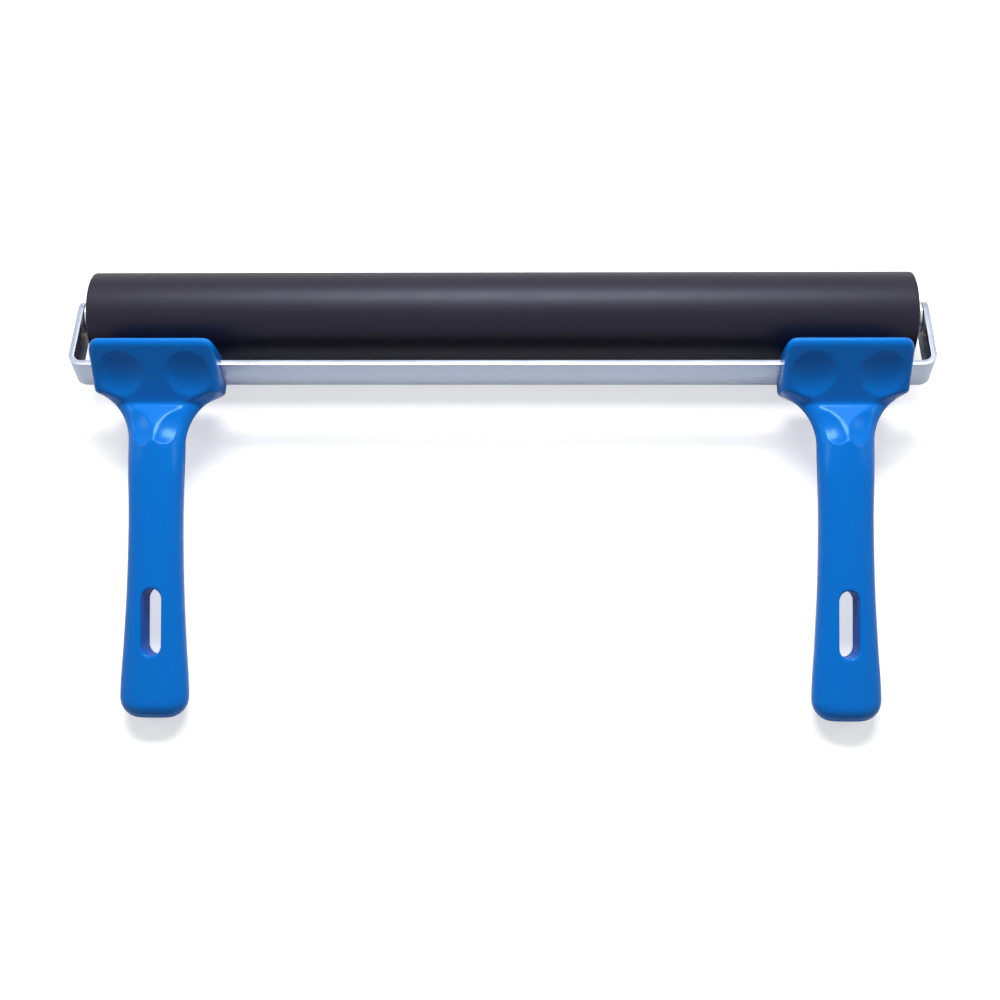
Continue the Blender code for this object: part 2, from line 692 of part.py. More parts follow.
def build_handles(parent):
    """Both moulded handles: shaft, slot, flared head with two dimples, and the strip's channel."""
    handle_blue = make_material("handle_plastic", (0.002, 0.13, 0.56), 0.25)
    wide = HEAD_HALF_WIDTH + CUT_SPARE

    up = front_face_way()
    outwards = Vector((0.0, -up.z, up.y))
    ball_radius = (DIMPLE_RADIUS**2 + DIMPLE_DEPTH**2) / (2 * DIMPLE_DEPTH)
    face_point = Vector((0.0, NOTCH_Y, NOTCH_Z)) + up * ((DIMPLE_Y - NOTCH_Y) / up.y)
    ball_centre = face_point + outwards * (ball_radius - DIMPLE_DEPTH)

    for side, handle_x in handle_sides():
        at_handle = Matrix.Translation(Vector((handle_x, 0, 0)))
        name = f"handle_{side}"
        handle = add_object(name, mesh_from(name, build_handle_blank), handle_blue, parent, at_handle)

        cutters = [("slot", slot_cutter, at_handle)]
        for end, sign in (("a", -1), ("b", 1)):
            centre = ball_centre + Vector((sign * SCREW_SPACING / 2, 0, 0))
            cutters.append((f"dimple_{end}", ball(ball_radius, centre), at_handle))
        channel_place = at_handle @ Matrix.Translation(WEB_CENTRE) @ STRIP_AXES.to_4x4()
        cutters.append(("channel", prism(channel_outline(), wide), channel_place))
        for cutter_name, build, place in cutters:
            full_name = f"{cutter_name}_cutter_{side}"
            cut(handle, add_object(full_name, mesh_from(full_name, build), None, parent, place))

        depth = STRIP_THICKNESS + SCREW_GRIP_IN_HANDLE + PILOT_HOLE_SPARE
        pilot = [(-depth, SCREW_RADIUS + SEAT_GAP), (CUT_SPARE, SCREW_RADIUS + SEAT_GAP)]
        for screw_name, screw_place in screw_places():
            if screw_name.startswith(side):
                full_name = f"pilot_cutter_{screw_name}"
                mesh = mesh_from(full_name, turned(pilot, SMALL_SEGMENTS))
                cut(handle, add_object(full_name, mesh, None, parent, screw_place))


# ---- Resting place --------------------------------------------------------------------------
def solid_points(root):
    """Every corner of every solid, in the handles' own frame."""
    bpy.context.view_layer.update()
    view = bpy.context.evaluated_depsgraph_get()
    home = root.matrix_world.inverted()
    points = []
    for thing in bpy.data.objects:
        if thing.type == "MESH" and not thing.hide_render:
            solid = thing.evaluated_get(view)
            mesh = solid.to_mesh()
            points += [home @ thing.matrix_world @ corner.co for corner in mesh.vertices]
            solid.to_mesh_clear()
    return points


def resting_tilt(points):
    """The tilt about X at which the roller and the handle ends touch one flat surface."""
    handle_points = [p for p in points if p.y < NECK_START]
    low, high = 0.0, math.radians(40)
    for _ in range(60):
        tilt = (low + high) / 2
        down = Vector((0.0, -math.sin(tilt), -math.cos(tilt)))
        roller_reach = AXLE_CENTRE.dot(down) + ROLLER_RADIUS
        handle_reach = max(p.dot(down) for p in handle_points)
        if roller_reach > handle_reach:
            low = tilt
        else:
            high = tilt
    return tilt


def set_down(root):
    """Tilt the tool onto its roller and handle ends, and centre it over the origin."""
    points = solid_points(root)
    tilt = resting_tilt(points)
    turn = Matrix.Rotation(tilt, 4, "X")
    turned_points = [turn @ p for p in points]
    middle_y = (max(p.y for p in turned_points) + min(p.y for p in turned_points)) / 2
    floor = min(p.z for p in turned_points)
    root.matrix_world = Matrix.Translation((0.0, -middle_y, -floor)) @ turn


def main():
    clear_scene()
    root = make_empty("brayer")
    roller_axis = make_empty("roller_axis", root, AXLE_CENTRE)
    axle_line = make_empty("axle_line", root, AXLE_CENTRE)
    build_roller(roller_axis)
    build_axle(axle_line)
    build_strip(root)
    build_clamps(root)
    build_handles(root)
    set_down(root)


main()
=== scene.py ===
"""Looks of the two-handled rubber brayer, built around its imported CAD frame.

Shapes are drawn in the handles' own frame, as in the CAD: X along the roller, Y from the handle
ends towards the roller, Z out of the handles' fronts. HOME then lays them on the floor. The roller,
axle, strip, handles and screws are drawn again with rounded edges and fine detail; the small
turned pieces inside the roller keep their CAD solids and get their own materials.
"""

import math

import bmesh
import bpy
from mathutils import Matrix, Vector


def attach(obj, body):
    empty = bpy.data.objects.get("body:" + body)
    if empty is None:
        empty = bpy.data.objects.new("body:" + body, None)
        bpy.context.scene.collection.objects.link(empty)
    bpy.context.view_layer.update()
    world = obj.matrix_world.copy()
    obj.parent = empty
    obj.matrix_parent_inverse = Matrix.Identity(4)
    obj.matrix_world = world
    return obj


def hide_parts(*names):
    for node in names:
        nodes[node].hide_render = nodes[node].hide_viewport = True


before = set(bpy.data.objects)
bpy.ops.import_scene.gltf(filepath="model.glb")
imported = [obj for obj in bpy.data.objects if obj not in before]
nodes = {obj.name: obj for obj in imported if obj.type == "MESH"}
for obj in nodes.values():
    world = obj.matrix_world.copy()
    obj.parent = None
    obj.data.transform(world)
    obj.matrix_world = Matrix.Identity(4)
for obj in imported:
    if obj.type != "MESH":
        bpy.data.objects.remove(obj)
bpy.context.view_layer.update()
collection = bpy.context.scene.collection

# ---- Sizes shared with the CAD, in metres -----------------------------------------------------
HOME_SINE = 0.198592037
HOME = Matrix.Translation((0.0, -0.081400737, 0.005839760)) @ Matrix.Rotation(math.asin(HOME_SINE), 4, "X")

ROLLER_HALF = 0.150
ROLLER_RADIUS = 0.01625
RUBBER_BORE = 0.01125
ARM_INNER_X = 0.1537
STRIP_WIDTH = 0.012
STRIP_THICKNESS = 0.002
BEND_INNER_RADIUS = 0.003
WEB_TO_AXLE = 0.0250
ARM_BEYOND_AXLE = 0.005
TILT = math.radians(31.5)

RIM_Y = 0.1345
HALF_THICKNESS = 0.0070
END_HALF_WIDTH = 0.0122
WAIST_HALF_WIDTH = 0.0097
NECK_HALF_WIDTH = 0.0102
NECK_START = 0.0975
NECK_ARC_RADIUS = 0.0205
END_ROUNDING = 0.0075
HEAD_HALF_WIDTH = 0.0225
RIM_HALF_WIDTH = 0.0212
RIM_FRONT = 0.0135
BACK_WALL = 0.0060
HEAD_TOP_Y = 0.1305
NOTCH_Y = 0.1122
FACET_APEX_Y = 0.0986
FACET_TOP_HALF_WIDTH = 0.0096
CROWN_HALF_WIDTH = 0.0004
CROWN_FADE = 0.014
HEAD_CORNER_RADIUS = 0.0022
RIM_ROUNDING = 0.0034
RIM_THICKNESS = 0.0042
RIM_CORNER_RADIUS = 0.0022
FACE_HOLLOW = 1.12
DIMPLE_RADIUS = 0.0082
DIMPLE_DEPTH = 0.0014
DIMPLE_Y = 0.1223
SCREW_SPACING = 0.0243
SLOT_START = 0.0223
SLOT_LENGTH = 0.0238
SLOT_WIDTH = 0.0069
HANDLE_X = 0.1228
PLATE_TOP = 0.0033
SEAT_GAP = 0.0003

ARM_WAY = Vector((0.0, math.cos(TILT), -math.sin(TILT)))
BACK_WAY = Vector((0.0, -math.sin(TILT), -math.cos(TILT)))
SEAT_EDGE = Vector((0.0, RIM_Y - 0.0066, -0.0008))
WEB_CENTRE = SEAT_EDGE + BACK_WAY * (STRIP_WIDTH / 2)
AXLE_CENTRE = WEB_CENTRE + ARM_WAY * WEB_TO_AXLE
STRIP_PLACE = Matrix.Translation(WEB_CENTRE) @ Matrix(((1, 0, 0), ARM_WAY, BACK_WAY)).transposed().to_4x4()
AXLE_PLACE = Matrix.Translation(AXLE_CENTRE)
HEAD_CORNER = SEAT_EDGE + ARM_WAY * PLATE_TOP + BACK_WAY * (STRIP_WIDTH + SEAT_GAP + BACK_WALL)


# ---- Mesh helpers -----------------------------------------------------------------------------
def mesh_from(name, build, sharp=35.0):
    """Run a bmesh builder and return a smooth-shaded mesh with its real corners kept sharp."""
    shape = bmesh.new()
    build(shape)
    bmesh.ops.recalc_face_normals(shape, faces=shape.faces)
    mesh = bpy.data.meshes.new(name)
    shape.to_mesh(mesh)
    shape.free()
    mesh.shade_smooth()
    mesh.set_sharp_from_angle(angle=math.radians(sharp))
    return mesh


def new_object(name, mesh, place):
    """Link a mesh at a place given in the handles' own frame."""
    thing = bpy.data.objects.new(name, mesh)
    collection.objects.link(thing)
    thing.matrix_world = HOME @ place
    return thing


def add_boolean(target, cutter):
    """Add an exact cut to a target."""
    modifier = target.modifiers.new(cutter.name, "BOOLEAN")
    modifier.operation = "DIFFERENCE"
    modifier.solver = "EXACT"
    modifier.object = cutter


def finish_mesh(thing, cutters=(), sharp=35.0):
    """Apply an object's modifiers to its mesh and remove its cutters."""
    bpy.context.view_layer.update()
    view = bpy.context.evaluated_depsgraph_get()
    mesh = bpy.data.meshes.new_from_object(thing.evaluated_get(view))
    mesh.name = thing.name
    mesh.shade_smooth()
    mesh.set_sharp_from_angle(angle=math.radians(sharp))
    thing.modifiers.clear()
    thing.data = mesh
    for cutter in cutters:
        bpy.data.objects.remove(cutter, do_unlink=True)
    return mesh


def soften(points, radius, steps=4, closed=True):
    """Round the corners of a line of 2-D points."""
    result = []
    last = len(points) - 1
    for i, point in enumerate(points):
        corner = Vector(point)
        if not closed and i in (0, last):
            result.append(corner)
            continue
        before, after = Vector(points[i - 1]), Vector(points[(i + 1) % len(points)])
        reach = min(radius, (before - corner).length * 0.45, (after - corner).length * 0.45)
        start = corner + (before - corner).normalized() * reach
        end = corner + (after - corner).normalized() * reach
        for k in range(steps + 1):
            t = k / steps
            result.append(start * (1 - t) ** 2 + corner * 2 * t * (1 - t) + end * t * t)
    return result


def turned(profile, segments, ring=True):
    """A builder that turns (x, radius) points about X."""

    def build(shape):
        turns = [2 * math.pi * i / segments for i in range(segments)]
        rows = [[shape.verts.new((x, r * math.cos(t), r * math.sin(t))) for t in turns] for x, r in profile]
        pairs = list(zip(rows, rows[1:]))
        if ring:
            pairs.append((rows[-1], rows[0]))
        for first, second in pairs:
            for i in range(segments):
                j = (i + 1) % segments
                shape.faces.new((first[i], first[j], second[j], second[i]))
        if not ring:
            shape.faces.new(rows[0])
            shape.faces.new(rows[-1])

    return build


def prism(outline, low, high, axis=0):
    """A builder that extrudes a 2-D outline between two places along one axis."""

    def corner(pair, along):
        point = list(pair)
        point.insert(axis, along)
        return point

    def build(shape):
        near = [shape.verts.new(corner(pair, low)) for pair in outline]
        far = [shape.verts.new(corner(pair, high)) for pair in outline]
        shape.faces.new(near)
        shape.faces.new(far)
        for i in range(len(outline)):
            j = (i + 1) % len(outline)
            shape.faces.new((near[i], near[j], far[j], far[i]))

    return build


def arc(centre, radius, start, end, steps):
    """Points along an arc, with its angles in degrees and both ends included."""
    angles = [math.radians(start + (end - start) * i / steps) for i in range(steps + 1)]
    return [(centre[0] + radius * math.cos(a), centre[1] + radius * math.sin(a)) for a in angles]


# ---- Materials --------------------------------------------------------------------------------
def surface(name, colour, roughness, metallic=0.0, specular=0.5, tint=(1.0, 1.0, 1.0), mottling=0.05,
            mottle_size=0.012, spread=0.05, grain=(1500, 1500, 1500), depth=0.00001, along_uv=False,
            edge=0.0, coat=0.0):
    """A procedural material: mottled colour, uneven gloss, fine grain and, if asked, paler edges."""
    material = bpy.data.materials.new(name)
    material.use_nodes = True
    tree = material.node_tree
    add, link = tree.nodes.new, tree.links.new
    shader = tree.nodes["Principled BSDF"]
    shader.inputs["Metallic"].default_value = metallic
    shader.inputs["Specular IOR Level"].default_value = specular
    shader.inputs["Specular Tint"].default_value = (*tint, 1.0)
    shader.inputs["Coat Weight"].default_value = coat
    shader.inputs["Coat Roughness"].default_value = 0.12
    where = add("ShaderNodeTexCoord").outputs["UV" if along_uv else "Object"]

    mottle = add("ShaderNodeTexNoise")
    mottle.inputs["Scale"].default_value = 1.0 / mottle_size
    mottle.inputs["Detail"].default_value = 5.0
    mottle.inputs["Roughness"].default_value = 0.6
    link(where, mottle.inputs["Vector"])

    stretch = add("ShaderNodeMapping")
    stretch.inputs["Scale"].default_value = grain
    link(where, stretch.inputs["Vector"])
    fine = add("ShaderNodeTexNoise")
    fine.inputs["Scale"].default_value = 1.0
    fine.inputs["Detail"].default_value = 4.0
    link(stretch.outputs["Vector"], fine.inputs["Vector"])

    both = add("ShaderNodeMix")
    both.data_type = "FLOAT"
    both.inputs["Factor"].default_value = 0.5
    link(mottle.outputs["Fac"], both.inputs["A"])
    link(fine.outputs["Fac"], both.inputs["B"])

    paint = add("ShaderNodeMix")
    paint.data_type = "RGBA"
    paint.inputs["A"].default_value = (*[c * (1 - mottling) for c in colour], 1.0)
    paint.inputs["B"].default_value = (*[min(1.0, c * (1 + mottling)) for c in colour], 1.0)
    link(both.outputs["Result"], paint.inputs["Factor"])
    last_colour = paint.outputs["Result"]
    if edge:
        bends = add("ShaderNodeNewGeometry")
        ramp = add("ShaderNodeMapRange")
        ramp.inputs["From Min"].default_value = 0.52
        ramp.inputs["From Max"].default_value = 0.62
        ramp.inputs["To Max"].default_value = edge
        link(bends.outputs["Pointiness"], ramp.inputs["Value"])
        pale = add("ShaderNodeMix")
        pale.data_type = "RGBA"
        pale.inputs["B"].default_value = (*[c + (1.0 - c) * 0.5 for c in colour], 1.0)
        link(ramp.outputs["Result"], pale.inputs["Factor"])
        link(last_colour, pale.inputs["A"])
        last_colour = pale.outputs["Result"]
    link(last_colour, shader.inputs["Base Color"])

    gloss = add("ShaderNodeMapRange")
    gloss.inputs["From Min"].default_value = 0.3
    gloss.inputs["From Max"].default_value = 0.7
    gloss.inputs["To Min"].default_value = roughness - spread
    gloss.inputs["To Max"].default_value = roughness + spread
    link(both.outputs["Result"], gloss.inputs["Value"])
    link(gloss.outputs["Result"], shader.inputs["Roughness"])

    bump = add("ShaderNodeBump")
    bump.inputs["Strength"].default_value = 0.6
    bump.inputs["Distance"].default_value = depth
    link(fine.outputs["Fac"], bump.inputs["Height"])
    link(bump.outputs["Normal"], shader.inputs["Normal"])
    return material


BLUE_TINT = (0.40, 0.76, 1.0)
looks = {
    "black_rubber": surface("black_rubber_look", (0.008, 0.006, 0.012), 0.46, specular=0.32, tint=(0.76, 0.78, 1.0),
                            mottling=0.25, mottle_size=0.006, spread=0.05, grain=(2600, 120, 120), depth=0.000012),
    "core_steel": surface("core_steel_look", (0.56, 0.57, 0.59), 0.36, 1.0, grain=(3000, 90, 90)),
    "plug_plastic": surface("plug_plastic_look", (0.02, 0.02, 0.022), 0.45, specular=0.4, mottling=0.2,
                            grain=(2200, 2200, 2200), depth=0.00003),
    "bush_bronze": surface("bush_bronze_look", (0.60, 0.36, 0.15), 0.38, 1.0, mottling=0.18, mottle_size=0.0012,
                           spread=0.1, grain=(4000, 4000, 4000), depth=0.00003),
    "axle_steel": surface("axle_steel_look", (0.66, 0.67, 0.70), 0.27, 1.0, mottling=0.08, mottle_size=0.002,
                          spread=0.07, grain=(3500, 200, 200), depth=0.00002),
    "washer_steel": surface("washer_steel_look", (0.70, 0.71, 0.74), 0.30, 1.0, mottling=0.1, mottle_size=0.003),
    "washer_nylon": surface("washer_nylon_look", (0.74, 0.72, 0.66), 0.42, specular=0.45, mottling=0.04),
    "zinc_strip": surface("zinc_strip_look", (0.44, 0.49, 0.60), 0.27, 1.0, mottling=0.14, mottle_size=0.02,
                          spread=0.07, grain=(28, 2600, 1), depth=0.000012, along_uv=True),
    "handle_plastic": surface("handle_plastic_look", (0.0, 0.160, 0.62), 0.20, specular=0.24, tint=BLUE_TINT,
                              mottling=0.05, mottle_size=0.02, spread=0.04, grain=(900, 900, 900),
                              depth=0.000004),
    "plate_plastic": surface("plate_plastic_look", (0.0, 0.140, 0.55), 0.26, specular=0.24, tint=BLUE_TINT,
                             mottling=0.06, mottle_size=0.01, grain=(1200, 1200, 1200), depth=0.00002),
    "screw_zinc": surface("screw_zinc_look", (0.72, 0.74, 0.78), 0.26, 1.0, mottling=0.10, mottle_size=0.002,
                          spread=0.06, grain=(200, 3000, 3000), depth=0.00002),
}


def dress(thing, slot):
    """Give a piece the look of one of the record's material slots."""
    thing.data.materials.clear()
    thing.data.materials.append(looks[slot])


def stand_in(thing, body, slot, *cad_nodes):
    """Let a drawn piece ride on a body in place of its CAD nodes."""
    mesh = thing.data.copy()
    mesh.transform(thing.matrix_world)
    thing.data = mesh
    thing.matrix_world = Matrix()
    dress(thing, slot)
    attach(thing, body)
    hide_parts(*cad_nodes)


# ---- Roller and axle --------------------------------------------------------------------------
def make_roller():
    """The rubber with its rounded edges."""
    half = ROLLER_HALF
    profile = [(-half, RUBBER_BORE), (-half, ROLLER_RADIUS), (half, ROLLER_RADIUS), (half, RUBBER_BORE)]
    mesh = mesh_from("rubber_roll", turned(soften(profile, 0.0009, 5), 288))
    stand_in(new_object("rubber_roll", mesh, AXLE_PLACE), "roller", "black_rubber", "rubber_sleeve")


def make_plugs():
    """The moulded end plugs: a flange with a shallow ring-shaped recess round the bush's collar."""
    outer, inner, bore = 0.01095, 0.00885, 0.0054
    face, back = ROLLER_HALF, ROLLER_HALF - 0.018
    profile = [
        (face, bore), (face, 0.0078), (face - 0.0009, 0.0080), (face - 0.0009, 0.0096), (face, 0.0098),
        (face, outer), (face - 0.002, outer), (face - 0.002, inner), (back, inner), (back, bore),
    ]
    for side, sign in (("left", -1), ("right", 1)):
        placed = [(sign * x, radius) for x, radius in profile]
        mesh = mesh_from(f"plug_{side}", turned(soften(placed, 0.00025, 3), 128))
        stand_in(new_object(f"plug_{side}", mesh, AXLE_PLACE), "roller", "plug_plastic", f"end_plug_{side}")


def make_axle():
    """The fixed rod with its domed, riveted ends."""
    shoulder, head = ARM_INNER_X - SEAT_GAP, ARM_INNER_X + STRIP_THICKNESS + SEAT_GAP
    half = [(shoulder, 0.003), (shoulder, 0.0025), (head, 0.0025), (head, 0.0036), (head + 0.0004, 0.0036)]
    dome = [(head + 0.0004 + 0.0006 * math.sin(a), 0.0036 * math.cos(a)) for a in (0.3, 0.6, 0.9, 1.2, 1.4)]
    right = [tuple(p) for p in soften(half, 0.0001, 2, closed=False)] + dome
    left = [(-x, radius) for x, radius in reversed(right)]
    mesh = mesh_from("axle", turned(left + right, 72, ring=False))
    stand_in(new_object("axle", mesh, AXLE_PLACE), "frame", "axle_steel", "axle_rod")


# ---- Strip ------------------------------------------------------------------------------------
def make_strip():
    """The bent strip with eased edges and its lengthwise rolling marks."""
    inner, outer = BEND_INNER_RADIUS, BEND_INNER_RADIUS + STRIP_THICKNESS
    bend = (ARM_INNER_X - inner, inner)
    half = STRIP_WIDTH / 2
    round_centre = WEB_TO_AXLE + ARM_BEYOND_AXLE - half
    arm_outer = ARM_INNER_X + STRIP_THICKNESS
    right = [((x, 0.0), (x, -STRIP_THICKNESS), half) for x in (0.03, 0.06, 0.09, 0.12)]
    right += [(a, b, half) for a, b in zip(arc(bend, inner, -90, 0, 20), arc(bend, outer, -90, 0, 20))]
    for i in range(30):
        angle = math.radians(88.5) * i / 29
        along = round_centre + half * math.sin(angle)
        right.append(((ARM_INNER_X, along), (arm_outer, along), half * math.cos(angle)))
    left = [((-a[0], a[1]), (-b[0], b[1]), wide) for a, b, wide in reversed(right)]
    stations = left + right

    def build(shape):
        uv = shape.loops.layers.uv.new("along_strip")
        rings, run, previous = [], 0.0, None
        for near, far, wide in stations:
            middle = (Vector(near) + Vector(far)) / 2
            run += (middle - previous).length if previous else 0.0
            previous = middle
            corners = ((near, -wide), (near, wide), (far, wide), (far, -wide))
            rings.append(([shape.verts.new((*point, side)) for point, side in corners], run, wide))
        for (first, start, wide), (second, end, next_wide) in zip(rings, rings[1:]):
            for i in range(4):
                j = (i + 1) % 4
                face = shape.faces.new((first[i], first[j], second[j], second[i]))
                across = (-wide, wide, wide, -wide) if i % 2 == 0 else (i * 0.01, i * 0.01 + 0.002)
                places = ((start, across[0]), (start, across[1]), (end, across[1]), (end, across[0]))
                for loop, place in zip(face.loops, places):
                    loop[uv].uv = place
        shape.faces.new(rings[0][0])
        shape.faces.new(rings[-1][0])

    strip = new_object("strip", mesh_from("strip", build), STRIP_PLACE)
    easing = strip.modifiers.new("eased edges", "BEVEL")
    easing.width = 0.00018
    easing.segments = 3
    easing.limit_method = "ANGLE"
    easing.angle_limit = math.radians(50)
    reach = arm_outer + 0.004
    hole = mesh_from("axle_hole", turned([(-reach, 0.0028), (reach, 0.0028)], 48, ring=False))
    cutters = [new_object("axle_hole", hole, AXLE_PLACE)]
    screw_hole = mesh_from("screw_hole", turned([(-0.006, 0.0022), (0.004, 0.0022)], 32, ring=False))
    for name, place in screw_places():
        cutters.append(new_object(f"screw_hole_{name}", screw_hole, place))
    for cutter in cutters:
        add_boolean(strip, cutter)
    finish_mesh(strip, cutters)
    stand_in(strip, "frame", "zinc_strip", "frame_strip")


# ---- Screws and clamp plates ------------------------------------------------------------------
def screw_places():
    """(name, place) of each screw, whose own X runs from the strip's inner face to the roller."""
    turn = Matrix((ARM_WAY, (1, 0, 0), BACK_WAY)).transposed().to_4x4()
    places = []
    for side, sign in (("left", -1), ("right", 1)):
        for end, offset in (("outer", 1), ("inner", -1)):
            x = sign * (HANDLE_X + offset * SCREW_SPACING / 2)
            places.append((f"{side}_{end}", Matrix.Translation(WEB_CENTRE + Vector((x, 0, 0))) @ turn))
    return places


def cross_cutter(shape):
    """The tapering cross-shaped recess of a screw head."""
    arm, half = 0.0021, 0.00048
    outline = [(arm, half), (half, half), (half, arm), (-half, arm), (-half, half), (-arm, half)]
    outline += [(-y, -z) for y, z in outline]
    top = [shape.verts.new((PLATE_TOP + 0.0004, y, z)) for y, z in outline]
    low = [shape.verts.new((PLATE_TOP - 0.0015, y * 0.45, z * 0.7)) for y, z in outline]
    shape.faces.new(top)
    shape.faces.new(low)
    for i in range(len(outline)):
        j = (i + 1) % len(outline)
        shape.faces.new((top[i], top[j], low[j], low[i]))


def make_screws():
    """Countersunk screws with cross recesses and rolled threads."""
    end = -STRIP_THICKNESS - 0.0065
    shank, root, pitch = 0.0019, 0.00155, 0.0009
    profile = [(end, root * 0.5)]
    x = end + 0.0005
    while x < -0.0006:
        profile += [(x, root), (x + pitch * 0.3, shank), (x + pitch * 0.45, shank), (x + pitch * 0.75, root)]
        x += pitch
    profile += [(PLATE_TOP - 0.0018, shank * 0.95), (PLATE_TOP - 0.0002, 0.0036), (PLATE_TOP, 0.00355)]
    mesh = mesh_from("screw", turned(profile, 64, ring=False))
    for name, place in screw_places():
        screw = new_object(f"screw_{name}", mesh, place)
        cutter = new_object("cross", mesh_from("cross", cross_cutter), place)
        add_boolean(screw, cutter)
        finish_mesh(screw, [cutter])
        stand_in(screw, "frame", "screw_zinc", f"clamp_screw_{name}")


def make_plates():
    """The clamp plates with eased edges and countersunk holes."""
    wide, half, radius = HEAD_HALF_WIDTH - SEAT_GAP, STRIP_WIDTH / 2, 0.0015
    outline = []
    for x_sign, z_sign, start in ((1, 1, 0), (-1, 1, 90), (-1, -1, 180), (1, -1, 270)):
        outline += arc((x_sign * (wide - radius), z_sign * (half - radius)), radius, start, start + 90, 8)
    mesh = mesh_from("clamp", prism(outline, SEAT_GAP, PLATE_TOP, axis=1))
    hole = [(-0.005, 0.0022), (PLATE_TOP - 0.0018, 0.0022), (PLATE_TOP + 0.004, 0.0080)]
    hole_mesh = mesh_from("plate_hole", turned(hole, 64, ring=False))
    for side, sign in (("left", -1), ("right", 1)):
        plate = new_object(f"clamp_{side}", mesh, Matrix.Translation((sign * HANDLE_X, 0, 0)) @ STRIP_PLACE)
        easing = plate.modifiers.new("eased edges", "BEVEL")
        easing.width = 0.0004
        easing.segments = 3
        easing.limit_method = "ANGLE"
        easing.angle_limit = math.radians(50)
        cutters = []
        for name, place in screw_places():
            if name.startswith(side):
                cutters.append(new_object(f"plate_hole_{name}", hole_mesh, place))
        for cutter in cutters:
            add_boolean(plate, cutter)
        finish_mesh(plate, cutters)
        stand_in(plate, "frame", "plate_plastic", f"clamp_plate_{side}")


# ---- Handles ----------------------------------------------------------------------------------
def smooth_curve(stations, at):
    """A smooth value through (place, value) stations, level at both ends."""
    if at <= stations[0][0]:
        return stations[0][1]
    if at >= stations[-1][0]:
        return stations[-1][1]
    slopes = [0.0]
    for before, after in zip(stations, stations[2:]):
        slopes.append((after[1] - before[1]) / (after[0] - before[0]))
    slopes.append(0.0)
    for k in range(len(stations) - 1):
        (place, value), (next_place, next_value) = stations[k], stations[k + 1]
        if at <= next_place:
            break
    span = next_place - place
    t = (at - place) / span
    start_part = (2 * t**3 - 3 * t**2 + 1) * value + (t**3 - 2 * t**2 + t) * span * slopes[k]
    end_part = (-2 * t**3 + 3 * t**2) * next_value + (t**3 - t**2) * span * slopes[k + 1]
    return start_part + end_part


def straight_curve(stations, at):
    """A value read along straight lines between (place, value) stations."""
    for (place, value), (next_place, next_value) in zip(stations, stations[1:]):
        if at <= next_place:
            share = max(0.0, (at - place) / (next_place - place))
            return value + (next_value - value) * share
    return stations[-1][1]


def half_width(y):
    """Half the handle's width at a distance from its end."""
    taper = END_HALF_WIDTH - WAIST_HALF_WIDTH
    if y < END_ROUNDING:
        return END_HALF_WIDTH - END_ROUNDING + math.sqrt(max(0.0, END_ROUNDING**2 - (END_ROUNDING - y) ** 2))
    if y < NECK_START:
        shaft = [
            (END_ROUNDING, END_HALF_WIDTH),
            (NECK_START * 0.28, WAIST_HALF_WIDTH + taper * 0.56),
            (NECK_START * 0.48, WAIST_HALF_WIDTH + taper * 0.17),
            (NECK_START * 0.73, WAIST_HALF_WIDTH),
            (NECK_START, NECK_HALF_WIDTH),
        ]
        return smooth_curve(shaft, y)
    along = min(y - NECK_START, NECK_ARC_RADIUS)
    flare = NECK_HALF_WIDTH + NECK_ARC_RADIUS - math.sqrt(NECK_ARC_RADIUS**2 - along**2)
    if flare < HEAD_HALF_WIDTH:
        return flare
    wide = straight_curve([(HEAD_TOP_Y, HEAD_HALF_WIDTH), (RIM_Y, RIM_HALF_WIDTH)], y)
    return wide - rounding_drop(y, RIM_CORNER_RADIUS)


def rounding_drop(y, radius):
    """How far a quarter circle ending at the rim has fallen at a distance from the handle's end."""
    past = max(0.0, y - (RIM_Y - radius))
    return radius - math.sqrt(max(0.0, radius**2 - past**2))


def end_thickness(y):
    """Half the shaft's thickness, rounded over at the handle's end."""
    rounding = HALF_THICKNESS * 0.8
    if y >= rounding:
        return HALF_THICKNESS
    return HALF_THICKNESS - rounding + math.sqrt(rounding**2 - (rounding - y) ** 2)


def front_height(y):
    """The front's height on the centreline: shaft, facet down to the notch, face up to the rim."""
    if y < FACET_APEX_Y:
        return end_thickness(y)
    if y < NOTCH_Y:
        return HALF_THICKNESS * (NOTCH_Y - y) / (NOTCH_Y - FACET_APEX_Y)
    share = (y - NOTCH_Y) / (RIM_Y - NOTCH_Y)
    return RIM_FRONT * share**FACE_HOLLOW - rounding_drop(y, RIM_ROUNDING)


def back_height(y):
    """The back face's height, down to the head's lower corner and up along the plate."""
    if y < FACET_APEX_Y:
        return -end_thickness(y)
    corner_y, corner_z = HEAD_CORNER.y, HEAD_CORNER.z
    if y < corner_y:
        share = (y - FACET_APEX_Y) / (corner_y - FACET_APEX_Y)
        return -HALF_THICKNESS + (corner_z + HALF_THICKNESS) * share**1.4
    top_z = corner_z + (HEAD_TOP_Y - corner_y) / math.tan(TILT)
    return straight_curve([(corner_y, corner_z), (HEAD_TOP_Y, top_z), (RIM_Y, RIM_FRONT - RIM_THICKNESS)], y)


def widest_height(y):
    """The height at which a section is widest."""
    middle = (front_height(y) + back_height(y)) / 2
    if y < FACET_APEX_Y:
        return 0.0
    if y > HEAD_CORNER.y:
        return middle
    neck = -HALF_THICKNESS * 0.6
    return straight_curve([(FACET_APEX_Y, 0.0), (NOTCH_Y, neck), (HEAD_CORNER.y, middle)], y)


